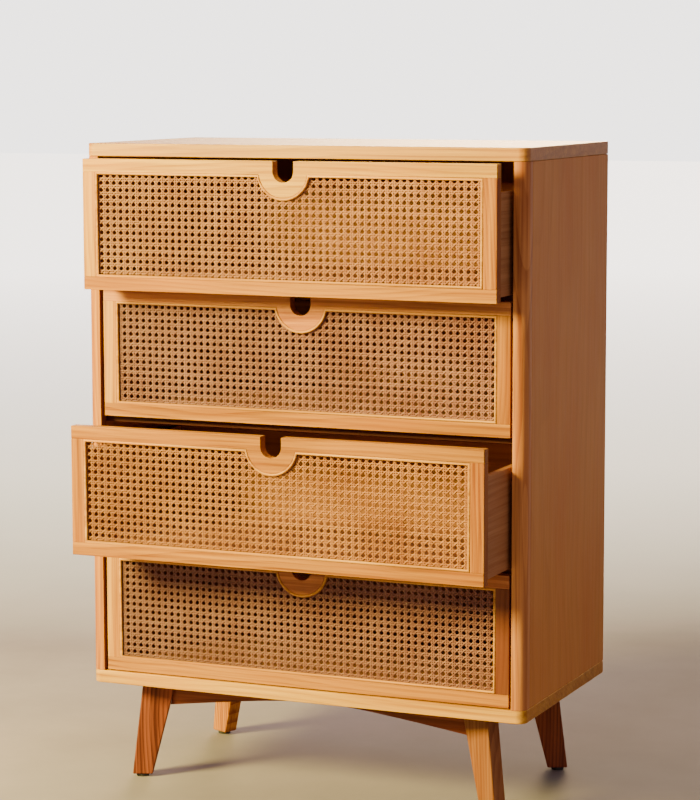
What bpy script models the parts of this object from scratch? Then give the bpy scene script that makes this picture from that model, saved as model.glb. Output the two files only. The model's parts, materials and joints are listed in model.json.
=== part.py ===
"""Tall chest of four drawers with woven-cane fronts, on tapered splayed legs.

Metres, +Z up, front towards -Y. Drawers are numbered from the top. The rest
pose has drawer 1 a little open, drawer 3 further open, and 2 and 4 closed.
"""
import math

import bmesh
import bpy
from mathutils import Vector
from mathutils.geometry import tessellate_polygon

# Carcass
WIDTH = 0.800
DEPTH = 0.414
BODY_HEIGHT = 0.938          # underside of the bottom panel to the top
PANEL_T = 0.022
CORNER_R = 0.016             # front vertical corners
POST_W = 0.0235
POST_D = 0.027
POST_REBATE = 0.019          # depth of its inner part, which the fronts lie beside
SIDE_T = 0.018
BACK_T = 0.006
BACK_INSET = 0.002
JOINT = 0.0003               # glue line between pieces that touch
EASE = 0.0012                # broken edges of boards

# Legs and aprons
LEG_HEIGHT = 0.173           # floor to the underside of the bottom panel
LEG_X = 0.2995               # centre of the leg's top
LEG_Y = 0.150
LEG_SHIFT = 0.005            # the four legs stand this far behind the middle
LEG_W_TOP = 0.058
LEG_W_FOOT = 0.0345
LEG_D = 0.028                # sawn from board of this thickness, so no taper
LEG_SPLAY = 0.0328           # how far the foot stands out from the top
LEG_TURN = math.radians(23)  # each leg is turned towards its corner
GLIDE_T = 0.005
GLIDE_R = 0.011
GLIDE_SEGMENTS = 28
APRON_T = 0.016
APRON_SET_BACK = 0.01625     # behind the leg's outer face
APRON_END = 0.045
APRON_MIDDLE = 0.015
APRON_ROUND = 0.35           # how softly the arch turns at its middle
APRON_SEGMENTS = 18

# Drawer fronts
DRAWERS = 4
FRONT_W = 0.743
FRONT_H = 0.2205
FRONT_T = 0.019
FRONT_GAP = 0.0027           # between neighbouring fronts
FRONT_RECESS = 0.004         # closed front behind the posts' face
RAIL_H = 0.022
STILE_W = 0.0235
LEDGE = 0.0045               # bead width, and the ledge the cane lies on
CANE_DEPTH = 0.0035          # cane's face behind the frame's face
CANE_T = 0.0016
BEAD_RAISE = 0.0012
NOTCH_R = 0.0185
NOTCH_DROP = 0.0165          # notch centre below the front's top edge
LOBE_R = 0.0437
ARC_SEGMENTS = 16

# Drawer boxes
BOX_HALF_W = 0.369
BOX_LENGTH = 0.370
BOX_LIFT = 0.008             # above the front's lower edge
BOX_DROP = 0.046             # below the front's top edge
BOX_T = 0.012
GROOVE_Z = 0.010
GROOVE_DEPTH = 0.0055
BOTTOM_T = 0.005
PULL = (0.0664, 0.0, 0.119, 0.0)   # how far each drawer stands open

# Rails and runners inside the carcass
RAIL_CLEAR = 0.0013          # behind the closed fronts
DIVIDER_D = 0.040
DIVIDER_H = 0.020
RUN_CLEAR = 0.0004           # under the drawer sides
RUNNER_H = 0.0092
RUNNER_HALF_W = 0.3545       # inner edge of the bearer
GUIDE_CLEAR = 0.0012
GUIDE_H = 0.010

FRONT_Y = -DEPTH / 2
INNER_HALF_W = WIDTH / 2 - SIDE_T
FLOOR_OF_BODY = LEG_HEIGHT + PANEL_T
CEILING = LEG_HEIGHT + BODY_HEIGHT - PANEL_T
EDGE_GAP = (CEILING - FLOOR_OF_BODY - DRAWERS * FRONT_H
            - (DRAWERS - 1) * FRONT_GAP) / 2
FOREMOST = FRONT_Y + FRONT_RECESS - max(PULL) - BEAD_RAISE
CARCASS_Y = -(FOREMOST + DEPTH / 2) / 2    # centres the whole object on Y
CANE_LEDGE = CANE_DEPTH + CANE_T + JOINT


def clear_scene():
    for obj in list(bpy.data.objects):
        bpy.data.objects.remove(obj, do_unlink=True)


def material(name, colour, roughness):
    made = bpy.data.materials.new(name)
    made.use_nodes = True
    shader = made.node_tree.nodes["Principled BSDF"]
    shader.inputs["Base Color"].default_value = (*colour, 1.0)
    shader.inputs["Roughness"].default_value = roughness
    shader.inputs["Metallic"].default_value = 0.0
    return made


def empty(name, location, parent=None):
    made = bpy.data.objects.new(name, None)
    bpy.context.scene.collection.objects.link(made)
    made.location = location
    made.parent = parent
    return made


def add(name, verts, faces, parent, finish, location=(0, 0, 0), ease=0.0):
    """One closed body; ease breaks its sharp edges with a small flat."""
    mesh = bpy.data.meshes.new(name)
    mesh.from_pydata(verts, [], faces)
    body = bmesh.new()
    body.from_mesh(mesh)
    bmesh.ops.remove_doubles(body, verts=body.verts, dist=1e-6)
    bmesh.ops.recalc_face_normals(body, faces=body.faces)
    body.to_mesh(mesh)
    body.free()
    made = bpy.data.objects.new(name, mesh)
    bpy.context.scene.collection.objects.link(made)
    made.parent = parent
    made.location = location
    mesh.materials.append(finish)
    if ease:
        bevel = made.modifiers.new("ease", "BEVEL")
        bevel.width = ease
        bevel.segments = 1
        bevel.limit_method = "ANGLE"
        bevel.angle_limit = math.radians(50)
    return made


def box(name, low, high, parent, finish, ease=0.0):
    x0, y0, z0 = low
    x1, y1, z1 = high
    verts = [(x, y, z) for z in (z0, z1) for y in (y0, y1) for x in (x0, x1)]
    faces = [(0, 1, 3, 2), (4, 6, 7, 5), (0, 4, 5, 1),
             (2, 3, 7, 6), (0, 2, 6, 4), (1, 5, 7, 3)]
    return add(name, verts, faces, parent, finish, ease=ease)


def lift(points, axis, value):
    """2D points as 3D ones, with value on the axis they don't hold."""
    at = {"X": lambda p: (value, p[0], p[1]),
          "Y": lambda p: (p[0], value, p[1]),
          "Z": lambda p: (p[0], p[1], value)}[axis]
    return [at(p) for p in points]


def caps(loops):
    """Triangles over flat loops, the first the outline, the rest holes."""
    return [tuple(t) for t in tessellate_polygon(
        [[Vector((*p, 0.0)) for p in loop] for loop in loops])]


def prism(name, loops, axis, low, high, parent, finish, ease=0.0):
    """Straight extrusion of an outline, with any holes, along one axis."""
    flat = [p for loop in loops for p in loop]
    count = len(flat)
    verts = lift(flat, axis, low) + lift(flat, axis, high)
    faces = []
    if len(loops) == 1:
        faces += [tuple(range(count)), tuple(range(2 * count - 1, count - 1, -1))]
    else:
        for t in caps(loops):
            faces += [t, tuple(i + count for i in reversed(t))]
    start = 0
    for loop in loops:
        for i in range(len(loop)):
            a, b = start + i, start + (i + 1) % len(loop)
            faces.append((a, b, b + count, a + count))
        start += len(loop)
    return add(name, verts, faces, parent, finish, ease=ease)


def arc(cx, cy, radius, begin, end, steps):
    """Points on a circle from one angle to another, both ends included."""
    return [(cx + radius * math.cos(a), cy + radius * math.sin(a))
            for a in (begin + (end - begin) * i / steps
                      for i in range(steps + 1))]


def panel_outline():
    half, r = WIDTH / 2, CORNER_R
    return (arc(-half + r, FRONT_Y + r, r, math.pi, 1.5 * math.pi, 8)
            + arc(half - r, FRONT_Y + r, r, 1.5 * math.pi, 2 * math.pi, 8)
            + [(half, -FRONT_Y), (-half, -FRONT_Y)])


def post_outline(side):
    half, r = WIDTH / 2, CORNER_R
    outline = ([(half - POST_W, FRONT_Y)]
               + arc(half - r, FRONT_Y + r, r, 1.5 * math.pi, 2 * math.pi, 8)
               + [(half, FRONT_Y + POST_D), (half - SIDE_T, FRONT_Y + POST_D),
                  (half - SIDE_T, FRONT_Y + POST_REBATE),
                  (half - POST_W, FRONT_Y + POST_REBATE)])
    return [(side * x, y) for x, y in outline]


def leg_half(depth):
    """Half the leg's width, this far below the carcass."""
    return (LEG_W_TOP + (LEG_W_FOOT - LEG_W_TOP) * depth / LEG_HEIGHT) / 2


def leg_out(depth):
    return LEG_SPLAY * depth / LEG_HEIGHT


def leg_point(sx, sy, out, inward):
    """X and Y of a point given in a leg's own turned frame."""
    cos, sin = math.cos(LEG_TURN), math.sin(LEG_TURN)
    return (sx * (LEG_X + out * cos + inward * sin),
            LEG_SHIFT + sy * (LEG_Y + out * sin - inward * cos))


def make_leg(name, sx, sy, parent, finish, pad):
    verts = []
    for z in (LEG_HEIGHT - JOINT, GLIDE_T + JOINT):
        depth = LEG_HEIGHT - z
        middle, half = leg_out(depth), leg_half(depth)
        verts += [(*leg_point(sx, sy, middle + a * half, b * LEG_D / 2), z)
                  for a, b in ((-1, -1), (1, -1), (1, 1), (-1, 1))]
    faces = [(0, 1, 2, 3), (7, 6, 5, 4), (0, 4, 5, 1),
             (1, 5, 6, 2), (2, 6, 7, 3), (3, 7, 4, 0)]
    add("leg_" + name, verts, faces, parent, finish, ease=0.0018)
    circle = arc(*leg_point(sx, sy, leg_out(LEG_HEIGHT), 0.0), GLIDE_R, 0.0,
                 2 * math.pi * (1 - 1 / GLIDE_SEGMENTS), GLIDE_SEGMENTS - 1)
    prism("glide_" + name, [circle], "Z", 0.0, GLIDE_T, parent, pad)


def apron_curve(reach):
    """Arched board: deep at the legs, shallow in the middle.

    reach gives the half length at a depth below the carcass.
    """
    full = math.hypot(APRON_ROUND, 1.0) - APRON_ROUND
    points = []
    for i in range(APRON_SEGMENTS + 1):
        u = -1 + 2 * i / APRON_SEGMENTS
        rise = (math.hypot(APRON_ROUND, u) - APRON_ROUND) / full
        depth = APRON_MIDDLE + (APRON_END - APRON_MIDDLE) * rise
        points.append((reach(APRON_END) * u, LEG_HEIGHT - depth))
    top = LEG_HEIGHT - JOINT
    return points + [(reach(JOINT), top), (-reach(JOINT), top)]


def make_apron(name, long, sign, parent, finish):
    """A board whose ends are cut to the legs' turned and sloping faces."""
    tan, cos = math.tan(LEG_TURN), math.cos(LEG_TURN)
    verts = []
    for back in (0.0, APRON_T):
        if long:
            off = LEG_Y + LEG_D / 2 - APRON_SET_BACK - back

            def reach(depth):
                inner = leg_out(depth) - leg_half(depth)
                return LEG_X + inner / cos + (LEG_Y - off) * tan - JOINT

            verts += [(x, LEG_SHIFT + sign * off, z)
                      for x, z in apron_curve(reach)]
        else:
            off = LEG_X + APRON_T / 2 - back
            half = LEG_Y + (off - LEG_X) * tan - LEG_D / 2 / cos - JOINT
            verts += [(sign * off, LEG_SHIFT + y, z)
                      for y, z in apron_curve(lambda depth: half)]
    count = len(verts) // 2
    faces = [tuple(range(count)), tuple(range(2 * count - 1, count - 1, -1))]
    faces += [(i, (i + 1) % count, (i + 1) % count + count, i + count)
              for i in range(count)]
    add(name, verts, faces, parent, finish)


def opening(inset, z_top):
    """The frame's opening with the lobe, made smaller by inset."""
    half = FRONT_W / 2 - STILE_W - inset
    low = z_top - FRONT_H + RAIL_H + inset
    high = z_top - RAIL_H - inset
    centre = z_top - NOTCH_DROP
    radius = LOBE_R + inset
    meet = math.asin((high - centre) / radius)
    lobe = arc(0.0, centre, radius, math.pi - meet, 2 * math.pi + meet,
               ARC_SEGMENTS)
    return [(-half, high)] + lobe + [(half, high), (half, low), (-half, low)]


def front_outline(z_top):
    half = FRONT_W / 2
    centre = z_top - NOTCH_DROP
    notch = arc(0.0, centre, NOTCH_R, math.pi, 2 * math.pi, ARC_SEGMENTS)
    return ([(-half, z_top), (-NOTCH_R, z_top)] + notch
            + [(NOTCH_R, z_top), (half, z_top),
               (half, z_top - FRONT_H), (-half, z_top - FRONT_H)])


def front_frame(name, z_top, parent, finish):
    """Frame with a wide front opening that steps in to a ledge."""
    outer = front_outline(z_top)
    wide, narrow = opening(0.0, z_top), opening(LEDGE, z_top)
    n, m = len(outer), len(wide)
    verts = (lift(outer, "Y", 0.0) + lift(outer, "Y", FRONT_T)
             + lift(wide, "Y", 0.0) + lift(wide, "Y", CANE_LEDGE)
             + lift(narrow, "Y", CANE_LEDGE) + lift(narrow, "Y", FRONT_T))
    front_back, wide_0, wide_1 = n, 2 * n, 2 * n + m
    narrow_1, narrow_2 = 2 * n + 2 * m, 2 * n + 3 * m
    faces = []
    for t in caps([outer, wide]):
        faces.append(tuple(i if i < n else i - n + wide_0 for i in t))
    for t in caps([outer, narrow]):
        faces.append(tuple(i + front_back if i < n else i - n + narrow_2
                           for i in t))
    for count, a, b in ((n, 0, front_back), (m, wide_0, wide_1),
                        (m, wide_1, narrow_1), (m, narrow_1, narrow_2)):
        for i in range(count):
            j = (i + 1) % count
            faces.append((a + i, a + j, b + j, b + i))
    return add(name, verts, faces, parent, finish)


def make_drawer(number, z_top, parent, finishes):
    """Everything of one drawer, about an empty on its slide axis."""
    pull = PULL[number - 1]
    stem = f"drawer_{number}_"
    slide = empty(stem + "slide", (0, FRONT_Y + FRONT_RECESS - pull, z_top),
                  parent)
    front_frame(stem + "front_frame", 0.0, slide, finishes["oak"])
    prism(stem + "cane", [opening(JOINT * 2, 0.0)], "Y", CANE_DEPTH,
          CANE_DEPTH + CANE_T, slide, finishes["cane"])
    prism(stem + "bead", [opening(JOINT, 0.0), opening(LEDGE, 0.0)], "Y",
          -BEAD_RAISE, CANE_DEPTH - JOINT, slide, finishes["bead"])

    begin = FRONT_T + JOINT
    end = begin + BOX_LENGTH
    low = -FRONT_H + BOX_LIFT
    high = -BOX_DROP
    groove = low + GROOVE_Z
    inner = BOX_HALF_W - BOX_T
    lip = inner + GROOVE_DEPTH
    groove_top = groove + BOTTOM_T + 2 * JOINT
    side = [(BOX_HALF_W, low), (BOX_HALF_W, high), (inner, high),
            (inner, groove_top), (lip, groove_top), (lip, groove),
            (inner, groove), (inner, low)]
    for label, sign in (("left", -1), ("right", 1)):
        prism(f"{stem}side_{label}", [[(sign * x, z) for x, z in side]], "Y",
              begin, end, slide, finishes["box"])
    box(stem + "bottom", (-lip + JOINT, begin, groove + JOINT),
        (lip - JOINT, end, groove + JOINT + BOTTOM_T), slide, finishes["ply"])
    box(stem + "back", (-inner + JOINT, end - BOX_T, groove_top),
        (inner - JOINT, end, high), slide, finishes["box"])


def make_runner(label, number, bottom, begin, end, parent, finish):
    """L-shaped strip: the drawer side runs on its bearer, beside its guide."""
    sign = -1 if label == "left" else 1
    wall = INNER_HALF_W - JOINT
    guide = BOX_HALF_W + GUIDE_CLEAR
    top = bottom + RUNNER_H
    profile = [(RUNNER_HALF_W, bottom), (wall, bottom), (wall, top + GUIDE_H),
               (guide, top + GUIDE_H), (guide, top), (RUNNER_HALF_W, top)]
    prism(f"runner_{number}_{label}", [[(sign * x, z) for x, z in profile]],
          "Y", begin, end, parent, finish)


def main():
    clear_scene()
    finishes = {
        "oak": material("oak", (0.71, 0.43, 0.20), 0.42),
        "leg": material("leg_wood", (0.50, 0.24, 0.09), 0.45),
        "inner": material("inner_wood", (0.42, 0.22, 0.10), 0.6),
        "box": material("drawer_box_wood", (0.50, 0.31, 0.16), 0.6),
        "ply": material("plywood", (0.55, 0.38, 0.22), 0.65),
        "cane": material("cane", (0.62, 0.40, 0.20), 0.55),
        "bead": material("bead", (0.66, 0.40, 0.18), 0.45),
        "pad": material("glide_pad", (0.03, 0.025, 0.02), 0.7),
    }
    carcass = empty("carcass", (0, CARCASS_Y, 0))
    top = LEG_HEIGHT + BODY_HEIGHT
    prism("top_panel", [panel_outline()], "Z", CEILING, top, carcass,
          finishes["oak"], EASE)
    prism("bottom_panel", [panel_outline()], "Z", LEG_HEIGHT, FLOOR_OF_BODY,
          carcass, finishes["oak"], EASE)
    low, high = FLOOR_OF_BODY + JOINT, CEILING - JOINT
    for label, sign in (("left", -1), ("right", 1)):
        prism(f"corner_post_{label}", [post_outline(sign)], "Z", low, high,
              carcass, finishes["oak"])
        edges = sorted((sign * INNER_HALF_W, sign * WIDTH / 2))
        box(f"side_panel_{label}", (edges[0], FRONT_Y + POST_D + JOINT, low),
            (edges[1], -FRONT_Y, high), carcass, finishes["oak"])
    back_y = -FRONT_Y - BACK_INSET - BACK_T
    wall = INNER_HALF_W - JOINT
    box("back_panel", (-wall, back_y, low), (wall, back_y + BACK_T, high),
        carcass, finishes["ply"])

    divider_y = FRONT_Y + FRONT_RECESS + FRONT_T + RAIL_CLEAR
    z_top = CEILING - EDGE_GAP
    for number in range(1, DRAWERS + 1):
        make_drawer(number, z_top, carcass, finishes)
        bearing = z_top - FRONT_H + BOX_LIFT - RUN_CLEAR
        run_from = divider_y
        if number < DRAWERS:
            box(f"divider_rail_{number}",
                (-wall, divider_y, bearing - DIVIDER_H),
                (wall, divider_y + DIVIDER_D, bearing), carcass,
                finishes["inner"])
            run_from += DIVIDER_D + JOINT
        for label in ("left", "right"):
            make_runner(label, number, bearing - RUNNER_H, run_from,
                        back_y - JOINT, carcass, finishes["inner"])
        z_top -= FRONT_H + FRONT_GAP

    for name, sx, sy in (("front_left", -1, -1), ("front_right", 1, -1),
                         ("back_left", -1, 1), ("back_right", 1, 1)):
        make_leg(name, sx, sy, carcass, finishes["leg"], finishes["pad"])
    for name, long, sign in (("front", True, -1), ("back", True, 1),
                             ("left", False, -1), ("right", False, 1)):
        make_apron("apron_" + name, long, sign, carcass, finishes["leg"])


main()
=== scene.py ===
"""Looks of a tall four-drawer chest with woven-cane fronts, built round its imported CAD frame.

Every mesh is made in the row frame: metres, +Z up, the front towards -Y.
"""
import json
import math
import random

import bmesh
import bpy
from mathutils import Euler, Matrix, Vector

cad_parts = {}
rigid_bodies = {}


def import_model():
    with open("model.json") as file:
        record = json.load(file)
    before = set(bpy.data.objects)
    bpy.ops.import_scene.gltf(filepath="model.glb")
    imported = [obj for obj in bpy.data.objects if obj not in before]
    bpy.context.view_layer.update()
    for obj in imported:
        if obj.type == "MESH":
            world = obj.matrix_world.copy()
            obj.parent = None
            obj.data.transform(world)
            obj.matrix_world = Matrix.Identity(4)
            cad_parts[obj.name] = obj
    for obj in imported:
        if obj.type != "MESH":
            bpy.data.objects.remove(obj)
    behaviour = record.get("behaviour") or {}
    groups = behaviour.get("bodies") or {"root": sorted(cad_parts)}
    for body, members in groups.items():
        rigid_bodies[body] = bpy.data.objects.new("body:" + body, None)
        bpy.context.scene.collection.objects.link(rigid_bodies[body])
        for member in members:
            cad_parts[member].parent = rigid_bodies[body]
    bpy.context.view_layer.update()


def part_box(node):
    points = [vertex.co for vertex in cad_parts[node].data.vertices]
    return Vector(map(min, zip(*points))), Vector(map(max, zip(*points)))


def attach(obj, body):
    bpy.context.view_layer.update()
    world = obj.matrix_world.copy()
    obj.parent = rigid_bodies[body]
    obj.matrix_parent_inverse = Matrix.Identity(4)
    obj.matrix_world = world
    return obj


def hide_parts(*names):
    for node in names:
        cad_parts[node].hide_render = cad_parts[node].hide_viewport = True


# Sizes that a CAD node's box doesn't give
CORNER_R = 0.016
POST_REBATE = 0.019
LEG_X, LEG_Y, LEG_SHIFT = 0.2995, 0.150, 0.005
LEG_W_TOP, LEG_W_FOOT, LEG_D = 0.058, 0.0345, 0.028
LEG_SPLAY, LEG_TURN = 0.0328, math.radians(23)
APRON_T, APRON_SET_BACK = 0.016, 0.01625
APRON_END, APRON_MIDDLE, APRON_ROUND = 0.045, 0.015, 0.35
JOINT = 0.0003
RUNNER_H, GUIDE_W = 0.0092, 0.0115
RAIL_H, STILE_W = 0.022, 0.0235
BEAD_W, BEAD_RAISE = 0.0045, 0.0012
CANE_MIDDLE = 0.0044         # the middle of the weave, behind the front's face
LEDGE_DEPTH = 0.0054         # the ledge round the cane's back, behind the same face
SEAM = 0.00008               # shown between a rail and a stile
GLIDE_EASE = 0.0007
NOTCH_R, NOTCH_DROP, LOBE_R = 0.0185, 0.0165, 0.0437
DRAWERS = 4
CORNER_STEPS = 14
NOTCH_STEPS = 32
LOBE_STEPS = 48
GLIDE_STEPS = 48
APRON_STEPS = 40

# Cane webbing
PITCH_X, PITCH_Z = 0.01224, 0.01193  # one octagonal hole to the next
HOLE_AT = {1: (0.0044, 0.0012), 2: (0.0099, -0.0005),   # where a hole falls,
           3: (0.0035, -0.0001), 4: (0.0100, 0.0109)}   # from the middle and bottom
PAIR = 0.135                 # half the spacing of a pair, in pitches
STRAND_W = 0.0025
STRAND_T = 0.0005
WEAVE = 0.00034              # how far a strand swings in and out
CROSS = 0.00052              # the same for the diagonals
STRAND_SECTION = ((-1, 0.1), (0, 0.62), (1, 0.1), (0, -0.38))   # half widths, thicknesses
WIDTH_RANGE = (0.93, 1.04)   # of STRAND_W
DRIFT = 0.012                # how far off its line a strand may lie, in pitches
CANE_EDGE = BEAD_W * 0.4     # how far under the bead the strands end
SHORT_LINE = 0.002           # shorter lines and strands are left out
SHORT_STRAND = 0.001
END_GAP = 0.0004             # the least between a strand's end and its next point
FAR = 1.2                    # longer than any strand

# Camera; its height is above the carcass's underside
LENS = 118.8
CAM_AT = (1.8154, -4.1193, 1.0635)
CAM_YAW, CAM_PITCH, CAM_ROLL = 23.47, 7.158, -0.11

# Light: a round lamp up to the left, in front, in a dim room with a bright end
KEY_AT = (-1.98, -2.48, 1.957)
KEY_AIM = (0.0, -0.15, 0.62)
KEY_SIZE = 1.0
KEY_POWER = 560.0
KEY_COLOUR = (1.0, 0.86, 0.21)
ROOM = (0.20, 0.170, 0.185)
ROOM_RIGHT = (0.70, 0.555, 0.54)
CEILING = (0.70, 0.645, 0.61)
BRIGHT = (3.3, 3.15, 3.05)           # the bright end, low down
GLARE = (35.0, 25.0, 14.5)           # a window in it
# Where they begin, are full, begin to fade and end: azimuths in degrees to the left of
# straight back, and rises from 0 for level to 1 for straight up
END_AZIMUTH = (-6.0, 6.0, 40.0, 60.0)
END_RISE = (0.30, 0.15)              # where it is gone and where it is full
WINDOW_AZIMUTH = (-2.0, 12.0, 20.0, 27.5)
WINDOW_RISE = (0.05, 0.09, 0.35, 0.5)
FLOOR_REACH = 30.0


def clear_startup():
    for obj in list(bpy.data.objects):
        bpy.data.objects.remove(obj, do_unlink=True)


# ---------------------------------------------------------------- materials

class Nodes:
    """Short calls for building one material's node tree."""

    def __init__(self, name):
        self.material = bpy.data.materials.new(name)
        self.material.use_nodes = True
        self.tree = self.material.node_tree
        self.shader = self.tree.nodes["Principled BSDF"]

    @classmethod
    def on(cls, tree):
        """The same calls for a tree that isn't a material's."""
        self = cls.__new__(cls)
        self.tree = tree
        return self

    def link(self, source, target):
        self.tree.links.new(source, target)

    def new(self, kind, **settings):
        node = self.tree.nodes.new(kind)
        for key, value in settings.items():
            setattr(node, key, value)
        return node

    def feed(self, socket, value):
        if isinstance(value, bpy.types.NodeSocket):
            self.link(value, socket)
        else:
            socket.default_value = value

    def math(self, operation, a, b=0.0, c=0.0, clamp=False):
        node = self.new("ShaderNodeMath", operation=operation, use_clamp=clamp)
        for socket, value in zip(node.inputs, (a, b, c)):
            self.feed(socket, value)
        return node.outputs[0]

    def noise(self, vector, scale=1.0, detail=2.0, rough=0.5):
        node = self.new("ShaderNodeTexNoise")
        self.link(vector, node.inputs["Vector"])
        node.inputs["Scale"].default_value = scale
        node.inputs["Detail"].default_value = detail
        node.inputs["Roughness"].default_value = rough
        return node.outputs["Fac"]

    def combine(self, x, y, z):
        node = self.new("ShaderNodeCombineXYZ")
        for socket, value in zip(node.inputs, (x, y, z)):
            self.feed(socket, value)
        return node.outputs[0]

    def remap(self, value, low, high, to_low=0.0, to_high=1.0):
        node = self.new("ShaderNodeMapRange")
        node.clamp = True
        for socket, given in zip(node.inputs, (value, low, high, to_low, to_high)):
            self.feed(socket, given)
        return node.outputs[0]

    def span(self, value, begin, full, fade, end):
        """1 from full to fade, falling to 0 at begin and at end."""
        return self.math("MULTIPLY", self.remap(value, begin, full),
                         self.remap(value, end, fade))

    def mix(self, factor, a, b, blend="MIX"):
        node = self.new("ShaderNodeMix", data_type="RGBA", blend_type=blend)
        self.feed(node.inputs["Factor"], factor)
        for socket, value in ((node.inputs[6], a), (node.inputs[7], b)):
            self.feed(socket, (*value, 1.0) if isinstance(value, tuple) else value)
        return node.outputs[2]

    def bump(self, height, strength, distance):
        node = self.new("ShaderNodeBump")
        node.inputs["Strength"].default_value = strength
        node.inputs["Distance"].default_value = distance
        self.link(height, node.inputs["Height"])
        self.link(node.outputs[0], self.shader.inputs["Normal"])


def wood(name, grain, tones, seed, ring_mm=9.0, figure=0.5, rough=0.42,
         pith=(0.035, 0.11), streak=1.0, fleck=0.25, gloss=0.15, edge=1.0):
    """Sawn wood: growth rings cut by the board, streaks, fibres and pores along it.

    grain is the axis the fibres follow; pith is how far off the tree's centre
    lies across the board, which sets how wide the figure runs; edge below 1
    paints shade on the faces that look left or right, turning them towards a dark
    reddish brown (on boards with grain along X these faces are also end grain).
    """
    n = Nodes(name)
    rng = random.Random(seed)
    light, dark = tones
    shift = [rng.uniform(-3, 3) for _ in range(3)]
    at = n.new("ShaderNodeTexCoord").outputs["Object"]
    split = n.new("ShaderNodeSeparateXYZ")
    n.link(at, split.inputs[0])
    x, y, z = split.outputs
    along, a, b = {"X": (x, z, y), "Y": (y, x, z), "Z": (z, x, y)}[grain]

    def stretched(length_rate, width_rate, offset):
        """Coordinates that vary slowly along the fibres and fast across them."""
        return n.combine(n.math("MULTIPLY_ADD", along, length_rate, offset),
                         n.math("MULTIPLY_ADD", a, width_rate, offset * 0.7),
                         n.math("MULTIPLY_ADD", b, width_rate, offset * 0.4))

    slow = stretched(1.6, 5.0, shift[0])
    sway = n.math("MULTIPLY", n.math("SUBTRACT", n.noise(slow, 1.0, 2.0), 0.5), 0.09)
    ra = n.math("ADD", n.math("SUBTRACT", a, rng.uniform(-pith[0], pith[0])), sway)
    rb = n.math("ADD", b, pith[1] * rng.choice((-1, 1)))
    radius = n.math("SQRT", n.math("ADD", n.math("MULTIPLY", ra, ra),
                                   n.math("MULTIPLY", rb, rb)))
    ring = n.math("FRACT", n.math("MULTIPLY", radius, 1000.0 / ring_mm))
    late = n.span(ring, 0.35, 0.97, 0.95, 1.0)

    band = n.remap(n.noise(stretched(1.5, 60.0, shift[2]), 1.0, 2.0), 0.34, 0.66)
    stripe = n.remap(n.noise(stretched(4.0, 210.0, shift[1]), 1.0, 2.0), 0.36, 0.66)
    fibre = n.noise(stretched(14.0, 620.0, shift[1]), 1.0, 3.0, 0.6)
    pore = n.remap(n.noise(stretched(130.0, 1900.0, 0.0), 1.0, 1.0), 0.66, 0.74)

    depth = n.math("MULTIPLY_ADD", late, figure * 0.8, -0.2)
    depth = n.math("MULTIPLY_ADD", band, streak * 0.55, depth)
    depth = n.math("MULTIPLY_ADD", stripe, streak * 0.42, depth)
    depth = n.math("MULTIPLY_ADD", n.remap(fibre, 0.35, 0.7), streak * 0.2, depth)
    depth = n.math("MULTIPLY_ADD", pore, fleck * 0.5, depth, clamp=True)
    colour = n.mix(depth, light, dark)
    patch = n.remap(n.noise(slow, 2.3, 2.0), 0.42, 0.7)
    warm = tuple(c * k for c, k in zip(light, WARM_PATCH))
    colour = n.mix(n.math("MULTIPLY", patch, 0.5), colour, warm)
    # Painted shade on faces that look left or right, which on boards with grain along X are
    # also end grain
    if edge < 1.0:
        facing = n.new("ShaderNodeSeparateXYZ")
        n.link(n.new("ShaderNodeTexCoord").outputs["Normal"], facing.inputs[0])
        sideways = n.remap(n.math("ABSOLUTE", facing.outputs[0]), 0.75, 0.97)
        shade = n.math("MULTIPLY", sideways, 1.0 - edge)
        colour = n.mix(shade, colour, SIDEWAYS_SHADE)
    n.link(colour, n.shader.inputs["Base Color"])
    n.link(n.remap(fibre, 0.2, 0.8, rough - 0.07, rough + 0.1),
           n.shader.inputs["Roughness"])
    n.shader.inputs["Specular IOR Level"].default_value = gloss
    height = n.math("SUBTRACT", n.math("MULTIPLY", fibre, 0.6), pore)
    n.bump(height, 0.25, 0.0002)
    return n.material


def cane_material(name, tones, seed):
    """Split cane: satin skin with specks, each strand its own tone, and painted light that
    makes it paler to the right.
    """
    n = Nodes(name)
    light, dark = tones
    tone = n.new("ShaderNodeAttribute", attribute_name="tone").outputs["Fac"]
    at = n.new("ShaderNodeTexCoord").outputs["Object"]
    patch = n.noise(at, 9.0 + seed * 0.3, 2.0)
    speck = n.noise(at, 900.0, 2.0, 0.7)
    depth = n.math("MULTIPLY_ADD", n.remap(patch, 0.35, 0.68), 0.45,
                   n.math("MULTIPLY", tone, 0.45))
    depth = n.math("MULTIPLY_ADD", n.remap(speck, 0.45, 0.75), 0.3, depth, clamp=True)
    split = n.new("ShaderNodeSeparateXYZ")
    n.link(at, split.inputs[0])
    # Painted light: the cane grows paler from left to right
    painted_light_rightward = n.remap(split.outputs[0], -0.34, 0.30, 0.80, 1.15)
    grey = n.combine(painted_light_rightward, painted_light_rightward, painted_light_rightward)
    n.link(n.mix(1.0, n.mix(depth, light, dark), grey, "MULTIPLY"),
           n.shader.inputs["Base Color"])
    n.link(n.remap(speck, 0.3, 0.7, 0.38, 0.55), n.shader.inputs["Roughness"])
    n.shader.inputs["Specular IOR Level"].default_value = 0.3
    n.bump(speck, 0.2, 0.0001)
    return n.material


def plain(name, colour, rough, grain_scale):
    """Matte plastic or paint with a faint mottle."""
    n = Nodes(name)
    at = n.new("ShaderNodeTexCoord").outputs["Object"]
    mottle = n.noise(at, grain_scale, 3.0)
    shade = tuple(c * 0.82 for c in colour)
    n.link(n.mix(n.remap(mottle, 0.3, 0.7), shade, colour),
           n.shader.inputs["Base Color"])
    n.link(n.remap(mottle, 0.3, 0.7, rough - 0.06, rough + 0.06),
           n.shader.inputs["Roughness"])
    n.bump(mottle, 0.1, 0.0003)
    return n.material


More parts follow.
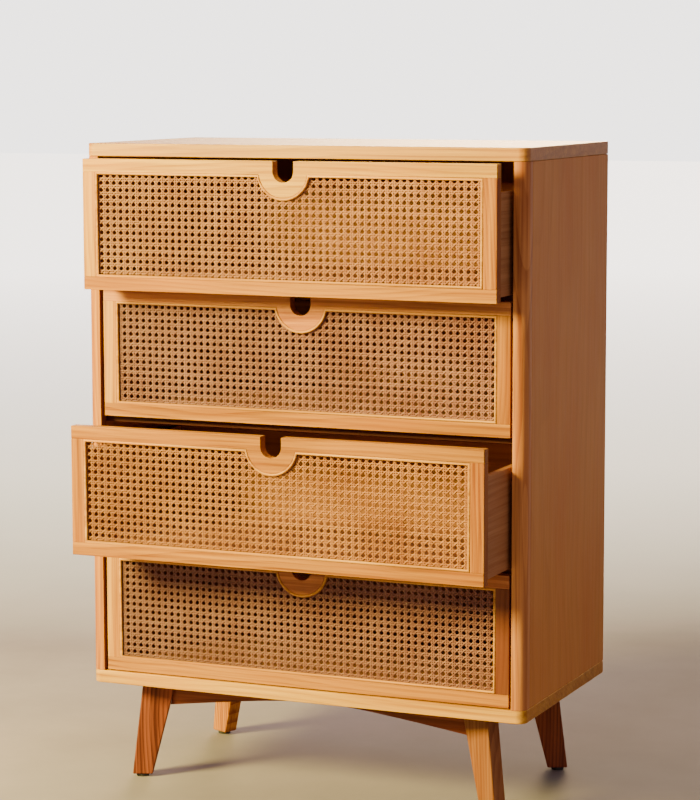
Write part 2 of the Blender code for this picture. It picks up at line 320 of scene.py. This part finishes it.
def floor_material():
    """Pale matte floor, paler and glowing towards the bright end of the room as painted light,
    and darker to the right as painted shade.
    """
    n = Nodes("floor")
    at = n.new("ShaderNodeTexCoord").outputs["Object"]
    split = n.new("ShaderNodeSeparateXYZ")
    n.link(at, split.inputs[0])
    x, y, _ = split.outputs
    mottle = n.noise(at, 2.2, 5.0, 0.6)
    away = n.math("SUBTRACT", y, n.math("MULTIPLY", x, 0.5))
    # Painted shade: the floor darkens from left to right
    painted_shade_rightward = n.mix(n.remap(x, -0.75, 0.35), (0.34, 0.285, 0.37), (0.16, 0.134, 0.14))
    near = n.mix(n.remap(mottle, 0.3, 0.7, 0.0, 0.25), painted_shade_rightward, (0.0, 0.0, 0.0))
    # Painted light: the floor pales towards the bright end
    n.link(n.mix(n.remap(away, 1.3, 4.0), near, (0.80, 0.79, 0.78)),
           n.shader.inputs["Base Color"])
    n.shader.inputs["Roughness"].default_value = 0.8
    n.shader.inputs["Specular IOR Level"].default_value = 0.2
    glow = n.math("MULTIPLY", n.remap(away, 1.2, 13.0, 0.0, 0.85), n.remap(x, 1.5, 0.0))
    n.shader.inputs["Emission Color"].default_value = (*BRIGHT, 1.0)
    n.link(glow, n.shader.inputs["Emission Strength"])
    return n.material


# Base colours, light and dark grain, in linear light
PALE = ((0.74, 0.385, 0.057), (0.36, 0.145, 0.016))
HONEY = ((0.67, 0.315, 0.046), (0.30, 0.100, 0.012))
WARM = ((0.59, 0.230, 0.035), (0.24, 0.062, 0.009))
GOLD = ((0.52, 0.217, 0.029), (0.20, 0.058, 0.008))
AMBER = ((0.48, 0.186, 0.025), (0.17, 0.046, 0.008))
# Bluer copies of the front wood for boards that sit in shade (drawer 2's and drawer 4's top
# rails, the right post): painted shade colour
SHADE_ROSY = ((0.61, 0.245, 0.078), (0.25, 0.070, 0.026))
SHADE_COPPER = ((0.53, 0.195, 0.070), (0.21, 0.055, 0.024))
RUDDY = ((0.20, 0.062, 0.030), (0.08, 0.021, 0.010))
# Near-black wood for dividers 1 and 2: painted shade in the gaps between the fronts
GAP_SHADE = ((0.095, 0.022, 0.014), (0.04, 0.009, 0.006))
SIDE = ((0.49, 0.188, 0.042), (0.34, 0.112, 0.022))
MAHOGANY = ((0.29, 0.078, 0.035), (0.08, 0.017, 0.009))
TEAK = ((0.28, 0.108, 0.040), (0.17, 0.053, 0.018))
RAW = ((0.39, 0.170, 0.075), (0.24, 0.092, 0.036))
PLY = ((0.42, 0.180, 0.12), (0.28, 0.100, 0.060))
CANE = ((0.46, 0.20, 0.095), (0.25, 0.080, 0.036))
BEAD = ((0.69, 0.33, 0.075), (0.32, 0.11, 0.020))
# Painted shade for faces that look left or right, partly the darker end grain of boards with
# grain along X
SIDEWAYS_SHADE = (0.17, 0.030, 0.004)
WARM_PATCH = (0.88, 0.66, 0.6)      # of a board's light colour, in its warmer patches

# The boards of each front: top rail, bottom rail, left stile, right stile
FRONT_TONES = {1: (PALE, GOLD, HONEY, WARM), 2: (SHADE_ROSY, GOLD, HONEY, AMBER),
               3: (GOLD, GOLD, AMBER, WARM), 4: (SHADE_COPPER, GOLD, HONEY, RUDDY)}
# Each panel's share of CANE: a tint, with darker and bluer cane on drawers 2 and 4 as painted
# shade
CANE_TINT_AND_SHADE = {1: (0.96, 0.95, 1.05), 2: (0.74, 0.75, 1.35),
             3: (0.95, 0.90, 0.68), 4: (0.62, 0.62, 1.05)}
# wood()'s edge, how much of their own colour the sideways faces keep under the painted shade:
# for the fronts and the left post, the right post, top and bottom
EDGE, POST_EDGE, PANEL_EDGE = 0.35, 0.8, 0.5


# ------------------------------------------------------------------- meshes

def piece(name, verts, faces, material, body, nodes, slot, bevel=0.0, segments=3,
          angle=40.0, smooth=True):
    """One shown piece, riding on a body and standing for its CAD nodes."""
    mesh = bpy.data.meshes.new(name)
    mesh.from_pydata(verts, [], faces)
    work = bmesh.new()
    work.from_mesh(mesh)
    bmesh.ops.recalc_face_normals(work, faces=work.faces)
    work.to_mesh(mesh)
    work.free()
    mesh.materials.append(material)
    mesh.polygons.foreach_set("use_smooth", [smooth] * len(mesh.polygons))
    obj = bpy.data.objects.new(name, mesh)
    bpy.context.scene.collection.objects.link(obj)
    if bevel:
        edge = obj.modifiers.new("bevel", "BEVEL")
        edge.width = bevel
        edge.segments = segments
        edge.limit_method = "ANGLE"
        edge.angle_limit = math.radians(angle)
        edge.miter_outer = "MITER_ARC"
        normals = obj.modifiers.new("normals", "WEIGHTED_NORMAL")
        normals.keep_sharp = True
    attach(obj, body)
    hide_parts(*nodes)
    return obj


def board(name, low, high, *look, **more):
    """A sawn board with rounded arrises, between two corners."""
    (x0, y0, z0), (x1, y1, z1) = low, high
    verts = [(x, y, z) for z in (z0, z1) for y in (y0, y1) for x in (x0, x1)]
    faces = [(0, 2, 3, 1), (4, 5, 7, 6), (0, 1, 5, 4),
             (2, 6, 7, 3), (0, 4, 6, 2), (1, 3, 7, 5)]
    return piece(name, verts, faces, *look, **more)


def lift(points, axis, value):
    at = {"X": lambda p: (value, p[0], p[1]),
          "Y": lambda p: (p[0], value, p[1]),
          "Z": lambda p: (p[0], p[1], value)}[axis]
    return [at(p) for p in points]


def slab(name, front, back, *look, **more):
    """The solid between two flat outlines with equally many points."""
    count = len(front)
    faces = [tuple(range(count)), tuple(range(2 * count - 1, count - 1, -1))]
    faces += [(i, (i + 1) % count, (i + 1) % count + count, i + count)
              for i in range(count)]
    return piece(name, front + back, faces, *look, **more)


def prism(name, outline, axis, low, high, *look, **more):
    """An outline pushed straight along one axis."""
    return slab(name, lift(outline, axis, low), lift(outline, axis, high),
                *look, **more)


def hoop(name, loops, *look, **more):
    """Faces between neighbouring loops of equal length, and from the last to the first."""
    count = len(loops[0])
    verts = [p for loop in loops for p in loop]
    faces = []
    for k in range(len(loops)):
        a, b = k * count, (k + 1) % len(loops) * count
        faces += [(a + i, a + (i + 1) % count, b + (i + 1) % count, b + i)
                  for i in range(count)]
    return piece(name, verts, faces, *look, **more)


def arc(cx, cy, radius, begin, end, steps):
    return [(cx + radius * math.cos(t), cy + radius * math.sin(t))
            for t in (begin + (end - begin) * i / steps for i in range(steps + 1))]


# ------------------------------------------------------------------ carcass

def panel_outline(low, high):
    r = CORNER_R
    return (arc(low.x + r, low.y + r, r, math.pi, 1.5 * math.pi, CORNER_STEPS)
            + arc(high.x - r, low.y + r, r, 1.5 * math.pi, 2 * math.pi, CORNER_STEPS)
            + [(high.x, high.y), (low.x, high.y)])


def build_panels():
    looks = {"top_panel": (HONEY, 11, 12.0, 0.5), "bottom_panel": (PALE, 29, 10.0, 0.15)}
    for node, (tones, seed, ring, gloss) in looks.items():
        low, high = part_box(node)
        finish = wood("wood_" + node, "X", tones, seed, ring, 0.35, pith=(0.3, 0.14),
                      gloss=gloss, edge=PANEL_EDGE)
        prism("v_" + node, panel_outline(low, high), "Z", low.z, high.z, finish,
              "carcass", [node], "oak", bevel=0.0016)


def build_posts():
    rebate_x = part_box("side_panel_right")[0].x
    for seed, label, sign, tones in ((3, "left", -1, WARM), (8, "right", 1, SHADE_ROSY)):
        node = "corner_post_" + label
        low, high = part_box(node)
        outer, inner = max(abs(low.x), abs(high.x)), min(abs(low.x), abs(high.x))
        outline = ([(inner, low.y)]
                   + arc(outer - CORNER_R, low.y + CORNER_R, CORNER_R,
                         1.5 * math.pi, 2 * math.pi, CORNER_STEPS)
                   + [(outer, high.y), (rebate_x, high.y),
                      (rebate_x, low.y + POST_REBATE), (inner, low.y + POST_REBATE)])
        outline = [(sign * x, y) for x, y in outline]
        finish = wood("wood_" + node, "Z", tones, seed, 7.0, 0.45,
                      edge=EDGE if sign < 0 else POST_EDGE)
        prism("v_" + node, outline, "Z", low.z, high.z, finish, "carcass", [node],
              "oak", bevel=0.0005, segments=2, angle=60.0)


def build_sides_and_back():
    for seed, label in ((21, "left"), (17, "right")):
        node = "side_panel_" + label
        low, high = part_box(node)
        finish = wood("wood_" + node, "Z", SIDE, seed, 14.0, 0.3, pith=(0.1, 0.16),
                      streak=0.5, fleck=0.12, gloss=0.1)
        board("v_" + node, low, high, finish, "carcass", [node], "oak", bevel=0.0008)
    low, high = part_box("back_panel")
    finish = wood("wood_back_panel", "Z", PLY, 40, 22.0, 0.4, 0.6, (0.2, 0.2))
    board("v_back_panel", low, high, finish, "carcass", ["back_panel"], "plywood",
          bevel=0.0006)


def build_inside():
    for number in range(1, DRAWERS):
        node = f"divider_rail_{number}"
        low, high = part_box(node)
        # Dividers 1 and 2 get near-black wood, painted shade in the gaps between the fronts
        finish = wood("wood_" + node, "X", GAP_SHADE if number < 3 else RUDDY,
                      50 + number, 8.0, 0.4, 0.55)
        board("v_" + node, low, high, finish, "carcass", [node], "inner_wood",
              bevel=0.001)
    shared = wood("wood_runner", "Y", RAW, 61, 7.0, 0.3, 0.6)
    for number in range(1, DRAWERS + 1):
        for label, sign in (("left", -1), ("right", 1)):
            node = f"runner_{number}_{label}"
            low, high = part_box(node)
            wall, tip = (low.x, high.x) if sign < 0 else (high.x, low.x)
            step = low.z + RUNNER_H
            guide = wall - sign * GUIDE_W
            outline = [(tip, low.z), (wall, low.z), (wall, high.z),
                       (guide, high.z), (guide, step), (tip, step)]
            prism("v_" + node, outline, "Y", low.y, high.y, shared, "carcass",
                  [node], "inner_wood", bevel=0.0006)


class Base:
    """Legs and aprons, measured down from the carcass's underside."""

    def __init__(self):
        low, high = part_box("bottom_panel")
        self.height = low.z
        self.middle_y = (low.y + high.y) / 2 + LEG_SHIFT

    def leg_half(self, depth):
        return (LEG_W_TOP + (LEG_W_FOOT - LEG_W_TOP) * depth / self.height) / 2

    def leg_out(self, depth):
        return LEG_SPLAY * depth / self.height

    def leg_point(self, sx, sy, out, inward):
        """X and Y of a point given in a leg's own turned frame."""
        cos, sin = math.cos(LEG_TURN), math.sin(LEG_TURN)
        return (sx * (LEG_X + out * cos + inward * sin),
                self.middle_y + sy * (LEG_Y + out * sin - inward * cos))

    def apron_curve(self, reach):
        """Arched lower edge, and the straight top edge."""
        full = math.hypot(APRON_ROUND, 1.0) - APRON_ROUND
        points = []
        for i in range(APRON_STEPS + 1):
            u = -1 + 2 * i / APRON_STEPS
            rise = (math.hypot(APRON_ROUND, u) - APRON_ROUND) / full
            depth = APRON_MIDDLE + (APRON_END - APRON_MIDDLE) * rise
            points.append((reach(APRON_END) * u, self.height - depth))
        top = self.height - JOINT
        return points + [(reach(JOINT), top), (-reach(JOINT), top)]

    def long_face(self, sign, back):
        """Outline of the front or back apron, this far behind its outer face."""
        off = LEG_Y + LEG_D / 2 - APRON_SET_BACK - back

        def reach(depth):
            inner = (self.leg_out(depth) - self.leg_half(depth)) / math.cos(LEG_TURN)
            return LEG_X + inner + (LEG_Y - off) * math.tan(LEG_TURN) - JOINT

        return [(x, self.middle_y + sign * off, z) for x, z in self.apron_curve(reach)]

    def side_face(self, sign, back):
        """The same for the left or right apron."""
        off = LEG_X + APRON_T / 2 - back
        half = (LEG_Y + (off - LEG_X) * math.tan(LEG_TURN)
                - LEG_D / 2 / math.cos(LEG_TURN) - JOINT)
        return [(sign * off, self.middle_y + y, z)
                for y, z in self.apron_curve(lambda depth: half)]


def build_glide(node, finish):
    """A round pad with eased rims and a small hole in its middle."""
    low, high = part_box(node)
    cx, cy, r = (low.x + high.x) / 2, (low.y + high.y) / 2, (high.x - low.x) / 2
    hole = r * 0.2
    rings = [(hole, low.z), (r - GLIDE_EASE, low.z), (r, low.z + GLIDE_EASE),
             (r, high.z - GLIDE_EASE), (r - GLIDE_EASE, high.z), (hole, high.z)]
    last = 2 * math.pi * (GLIDE_STEPS - 1) / GLIDE_STEPS
    loops = [lift(arc(cx, cy, radius, 0, last, GLIDE_STEPS - 1), "Z", z)
             for radius, z in rings]
    hoop("v_" + node, loops, finish, "carcass", [node], "glide_pad")


def build_legs(base):
    looks = {"front_left": (MAHOGANY, 71), "front_right": (TEAK, 72),
             "back_left": (WARM, 73), "back_right": (MAHOGANY, 74)}
    pad = plain("glide_pad", (0.03, 0.025, 0.022), 0.7, 300.0)
    for name, (tones, seed) in looks.items():
        sx = -1 if "left" in name else 1
        sy = -1 if "front" in name else 1
        node = "leg_" + name
        low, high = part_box(node)
        verts = []
        for z in (high.z, low.z):
            depth = base.height - z
            half = base.leg_half(depth)
            verts += [(*base.leg_point(sx, sy, base.leg_out(depth) + a * half,
                                       b * LEG_D / 2), z)
                      for a, b in ((-1, -1), (1, -1), (1, 1), (-1, 1))]
        faces = [(0, 1, 2, 3), (7, 6, 5, 4), (0, 4, 5, 1),
                 (1, 5, 6, 2), (2, 6, 7, 3), (3, 7, 4, 0)]
        finish = wood("wood_" + node, "Z", tones, seed, 6.5, 0.9, 0.4, (0.012, 0.03))
        piece("v_" + node, verts, faces, finish, "carcass", [node], "leg_wood",
              bevel=0.0024, segments=4)
        build_glide("glide_" + name, pad)


def build_aprons(base):
    for seed, label, face, sign, grain in (
            (81, "front", base.long_face, -1, "X"), (82, "back", base.long_face, 1, "X"),
            (83, "left", base.side_face, -1, "Y"), (84, "right", base.side_face, 1, "Y")):
        node = "apron_" + label
        finish = wood("wood_" + node, grain, MAHOGANY, seed, 8.0, 0.6)
        slab("v_" + node, face(sign, 0.0), face(sign, APRON_T), finish, "carcass",
             [node], "leg_wood", bevel=0.001)


# ------------------------------------------------------------------ drawers

class Front:
    """Outlines of one drawer front, in X and Z, from its CAD frame's box."""

    def __init__(self, number):
        low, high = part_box(f"drawer_{number}_front_frame")
        self.y0, self.y1 = low.y, high.y
        self.half, self.top, self.bottom = high.x, high.z, low.z
        self.centre = self.top - NOTCH_DROP

    def opening(self, inset):
        """The hole for the cane, made smaller by inset all round."""
        half = self.half - STILE_W - inset
        low = self.bottom + RAIL_H + inset
        high = self.top - RAIL_H - inset
        radius = LOBE_R + inset
        meet = math.asin((high - self.centre) / radius)
        lobe = arc(0.0, self.centre, radius, math.pi - meet, 2 * math.pi + meet,
                   LOBE_STEPS)
        return [(-half, high)] + lobe + [(half, high), (half, low), (-half, low)]

    def top_rail(self):
        """The rail with its finger notch and the lobe below it."""
        notch = arc(0.0, self.centre, NOTCH_R, math.pi, 2 * math.pi, NOTCH_STEPS)
        low = self.top - RAIL_H
        meet = math.asin((low - self.centre) / LOBE_R)
        lobe = arc(0.0, self.centre, LOBE_R, 2 * math.pi + meet, math.pi - meet,
                   LOBE_STEPS)
        return ([(-self.half, self.top), (-NOTCH_R, self.top)] + notch
                + [(NOTCH_R, self.top), (self.half, self.top), (self.half, low)]
                + lobe + [(-self.half, low)])


def inside_spans(front, point, along):
    """The stretches of a straight line that lie in the cane's opening.

    point and along are 2D; the opening is a rectangle less the lobe's disc.
    """
    half = front.half - STILE_W - CANE_EDGE
    low, high = front.bottom + RAIL_H + CANE_EDGE, front.top - RAIL_H - CANE_EDGE
    begin, end = -FAR, FAR
    for at, go, least, most in ((point[0], along[0], -half, half),
                                (point[1], along[1], low, high)):
        if abs(go) < 1e-9:
            if not least < at < most:
                return []
            continue
        a, b = sorted(((least - at) / go, (most - at) / go))
        begin, end = max(begin, a), min(end, b)
    if end - begin < SHORT_LINE:
        return []
    dx, dz = point[0], point[1] - front.centre
    mid = -(dx * along[0] + dz * along[1])
    miss = dx * dx + dz * dz - mid * mid
    gap = (LOBE_R + CANE_EDGE) ** 2 - miss
    if gap <= 0:
        return [(begin, end)]
    root = math.sqrt(gap)
    parts = [(begin, min(end, mid - root)), (max(begin, mid + root), end)]
    return [(a, b) for a, b in parts if b - a > SHORT_STRAND]


def swing(t, knots):
    """Smooth value at t of a pattern that repeats every 1, through its knots."""
    t %= 1.0
    for (t0, v0), (t1, v1) in zip(knots, knots[1:]):
        if t0 <= t <= t1:
            k = (t - t0) / (t1 - t0)
            return v0 + (v1 - v0) * k * k * (3 - 2 * k)
    return knots[-1][1]


def weave_knots(sign):
    """A pair strand goes over one crossing strand and under the next."""
    return [(0.0, 0.0), (PAIR, -sign * WEAVE), (0.36, 0.0), (0.5, 0.0), (0.64, 0.0),
            (1 - PAIR, sign * WEAVE), (1.0, 0.0)]


def diagonal_knots(sign):
    """A diagonal lies over the upright pairs and under the level ones."""
    return [(0.0, sign * CROSS), (0.12, sign * CROSS), (0.38, -sign * CROSS),
            (0.62, -sign * CROSS), (0.88, sign * CROSS), (1.0, sign * CROSS)]


def strand_lines(number, front):
    """(point, direction, period, phase, knots) of every strand of the webbing."""
    hole_x, hole_z = HOLE_AT[number]
    x0, z0 = hole_x - PITCH_X / 2, front.bottom + hole_z - PITCH_Z / 2
    columns = int(front.half / PITCH_X) + 2
    rows = int((front.top - front.bottom) / PITCH_Z) + 2
    for i in range(-columns, columns + 1):
        for sign in (-1, 1):
            yield (x0 + (i + sign * PAIR) * PITCH_X, z0), (0.0, 1.0), PITCH_Z, 0.0, \
                weave_knots(sign)
    for j in range(rows + 1):
        for sign in (-1, 1):
            yield (x0, z0 + (j + sign * PAIR) * PITCH_Z), (1.0, 0.0), PITCH_X, 0.0, \
                weave_knots(-sign)
    period = math.hypot(PITCH_X, PITCH_Z)
    for i in range(-columns - rows, columns + rows + 1):
        for sign in (-1, 1):
            yield (x0 + (i + 0.5) * PITCH_X, z0), \
                (sign * PITCH_X / period, PITCH_Z / period), period, 0.5, \
                diagonal_knots(sign)


# Where along each period a strand gets a point
SAMPLES = (0.0, PAIR, 0.32, 0.5, 0.68, 1 - PAIR)
DIAGONAL_SAMPLES = (0.0, 0.14, 0.36, 0.5, 0.64, 0.86)


def build_cane(number, front, material):
    """Six families of split-cane strands, woven over and under each other."""
    name = f"v_drawer_{number}_cane"
    body, node = f"drawer_{number}", f"drawer_{number}_cane"
    middle = front.y0 + CANE_MIDDLE
    rng = random.Random(100 + number)
    verts, faces, tones = [], [], []
    for point, along, period, phase, knots in strand_lines(number, front):
        across = (-along[1], along[0])
        offsets = SAMPLES if abs(along[0] * along[1]) < 1e-6 else DIAGONAL_SAMPLES
        tone = rng.random() ** 1.5
        width = STRAND_W / 2 * rng.uniform(*WIDTH_RANGE)
        drift = rng.uniform(-1, 1) * PITCH_X * DRIFT
        for begin, end in inside_spans(front, point, along):
            first = math.floor(begin / period) - 1
            last = math.ceil(end / period) + 1
            stops = [begin] + [s for s in ((k + o) * period
                                           for k in range(first, last)
                                           for o in offsets)
                               if begin + END_GAP < s < end - END_GAP] + [end]
            start = len(verts)
            for s in stops:
                lean = swing(s / period + phase - 0.5, knots)
                px = point[0] + along[0] * s + across[0] * drift
                pz = point[1] + along[1] * s + across[1] * drift
                for side, deep in STRAND_SECTION:
                    u = side * width
                    verts.append((px + across[0] * u, middle - lean - deep * STRAND_T,
                                  pz + across[1] * u))
                    tones.append(tone)
            for k in range(len(stops) - 1):
                a, b = start + 4 * k, start + 4 * k + 4
                faces += [(a + c, a + (c + 1) % 4, b + (c + 1) % 4, b + c)
                          for c in range(4)]
    obj = piece(name, verts, faces, material, body, [node], "cane")
    layer = obj.data.attributes.new("tone", "FLOAT", "POINT")
    layer.data.foreach_set("value", tones)


# The bead's section: how far into the opening, and how far behind the front's face
BEAD_SECTION = ((0.0002, 0.0030), (0.0002, 0.0004), (0.0007, -0.0006),
                (0.0015, -BEAD_RAISE * 0.92), (0.0023, -BEAD_RAISE),
                (0.0032, -BEAD_RAISE * 0.75), (0.0040, -0.0001), (BEAD_W, 0.0012),
                (BEAD_W, 0.0030))


def build_bead(number, front, finish):
    """Rounded spline pressed round the cane."""
    loops = [lift(front.opening(inset), "Y", front.y0 + deep)
             for inset, deep in BEAD_SECTION]
    hoop(f"v_drawer_{number}_bead", loops, finish, f"drawer_{number}",
         [f"drawer_{number}_bead"], "bead")


def build_drawer(number):
    stem, body = f"drawer_{number}_", f"drawer_{number}"
    front = Front(number)
    node = [stem + "front_frame"]
    rng = random.Random(number * 7)

    def oak(part, grain, tones, **more):
        return wood(f"wood_{stem}{part}", grain, tones,
                    number * 31 + rng.randrange(9), rng.uniform(6, 10), edge=EDGE,
                    **more)

    top_tone, bottom_tone, left_tone, right_tone = FRONT_TONES[number]
    prism(f"v_{stem}top_rail", front.top_rail(), "Y", front.y0, front.y1,
          oak("top_rail", "X", top_tone, figure=0.35), body, node, "oak",
          bevel=0.0007, segments=2, angle=50.0)
    half = front.half
    board(f"v_{stem}bottom_rail", (-half, front.y0, front.bottom),
          (half, front.y1, front.bottom + RAIL_H),
          oak("bottom_rail", "X", bottom_tone, figure=0.5), body, node, "oak",
          bevel=0.0007)
    for label, x0, x1, tones in (("left", -half, -half + STILE_W, left_tone),
                                 ("right", half - STILE_W, half, right_tone)):
        board(f"v_{stem}stile_{label}", (x0, front.y0, front.bottom + RAIL_H + SEAM),
              (x1, front.y1, front.top - RAIL_H - SEAM),
              oak("stile_" + label, "Z", tones, figure=0.45), body, node, "oak",
              bevel=0.0007)
    ledge_y = front.y0 + LEDGE_DEPTH
    wide, narrow = front.opening(0.0), front.opening(BEAD_W)
    hoop(f"v_{stem}ledge",
         [lift(wide, "Y", ledge_y), lift(narrow, "Y", ledge_y),
          lift(narrow, "Y", front.y1), lift(wide, "Y", front.y1)],
         oak("ledge", "X", GOLD), body, node, "oak", smooth=False)
    build_bead(number, front, oak("bead", "X", BEAD, figure=0.2, rough=0.38))
    cane_tones = [tuple(c * k for c, k in zip(tone, CANE_TINT_AND_SHADE[number]))
                  for tone in CANE]
    build_cane(number, front, cane_material(f"cane_{number}", cane_tones, number))

    for label in ("side_left", "side_right", "back"):
        low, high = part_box(stem + label)
        grain = "X" if label == "back" else "Y"
        finish = wood(f"wood_{stem}{label}", grain, RAW, number * 13 + len(label),
                      10.0, 0.35, 0.55)
        board(f"v_{stem}{label}", low, high, finish, body, [stem + label],
              "drawer_box_wood", bevel=0.0012)
    low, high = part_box(stem + "bottom")
    finish = wood(f"wood_{stem}bottom", "X", PLY, number + 90, 25.0, 0.4, 0.6)
    board(f"v_{stem}bottom", low, high, finish, body, [stem + "bottom"], "plywood",
          bevel=0.0004)


# -------------------------------------------------------------------- stage

def build_floor():
    mesh = bpy.data.meshes.new("floor")
    r = FLOOR_REACH
    mesh.from_pydata([(-r, -r, 0), (r, -r, 0), (r, r, 0), (-r, r, 0)], [],
                     [(0, 1, 2, 3)])
    floor = bpy.data.objects.new("floor", mesh)
    bpy.context.scene.collection.objects.link(floor)
    mesh.materials.append(floor_material())


def build_lamp():
    key = bpy.data.lights.new("key", "AREA")
    key.shape = "DISK"
    key.size = KEY_SIZE
    key.energy = KEY_POWER
    key.color = KEY_COLOUR
    lamp = bpy.data.objects.new("key", key)
    bpy.context.scene.collection.objects.link(lamp)
    lamp.location = KEY_AT
    beam = Vector(KEY_AIM) - Vector(KEY_AT)
    lamp.rotation_euler = beam.to_track_quat("-Z", "Y").to_euler()


def build_room():
    """Dim walls all round, with a bright end and its window to the back left."""
    world = bpy.data.worlds.new("studio")
    bpy.context.scene.world = world
    world.use_nodes = True
    n = Nodes.on(world.node_tree)
    split = n.new("ShaderNodeSeparateXYZ")
    n.link(n.new("ShaderNodeTexCoord").outputs["Generated"], split.inputs[0])
    x, y, z = split.outputs
    leftward = n.math("DEGREES", n.math("ARCTAN2", n.math("MULTIPLY", x, -1.0), y))
    walls = n.mix(n.remap(x, -0.5, 0.4), ROOM, ROOM_RIGHT)
    room = n.mix(n.remap(z, 0.35, 0.65), walls, CEILING)
    low_end = n.math("MULTIPLY", n.span(leftward, *END_AZIMUTH),
                     n.remap(z, *END_RISE))
    window = n.math("MULTIPLY", n.span(leftward, *WINDOW_AZIMUTH),
                    n.span(z, *WINDOW_RISE))
    colour = n.mix(window, n.mix(low_end, room, BRIGHT), GLARE)
    n.link(colour, world.node_tree.nodes["Background"].inputs["Color"])


def build_camera():
    data = bpy.data.cameras.new("camera")
    data.lens = LENS
    data.sensor_width = 36.0
    data.clip_end = 100.0
    camera = bpy.data.objects.new("camera", data)
    bpy.context.scene.collection.objects.link(camera)
    x, y, above = CAM_AT
    camera.location = (x, y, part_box("bottom_panel")[0].z + above)
    turn = Euler((math.radians(90 - CAM_PITCH), 0.0, math.radians(CAM_YAW)), "XYZ")
    camera.rotation_euler = turn
    camera.rotation_euler.rotate_axis("Z", math.radians(CAM_ROLL))
    bpy.context.scene.camera = camera


clear_startup()
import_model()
build_camera()
build_panels()
build_posts()
build_sides_and_back()
build_inside()
base = Base()
build_legs(base)
build_aprons(base)
for drawer in range(1, DRAWERS + 1):
    build_drawer(drawer)
build_floor()
build_lamp()
build_room()
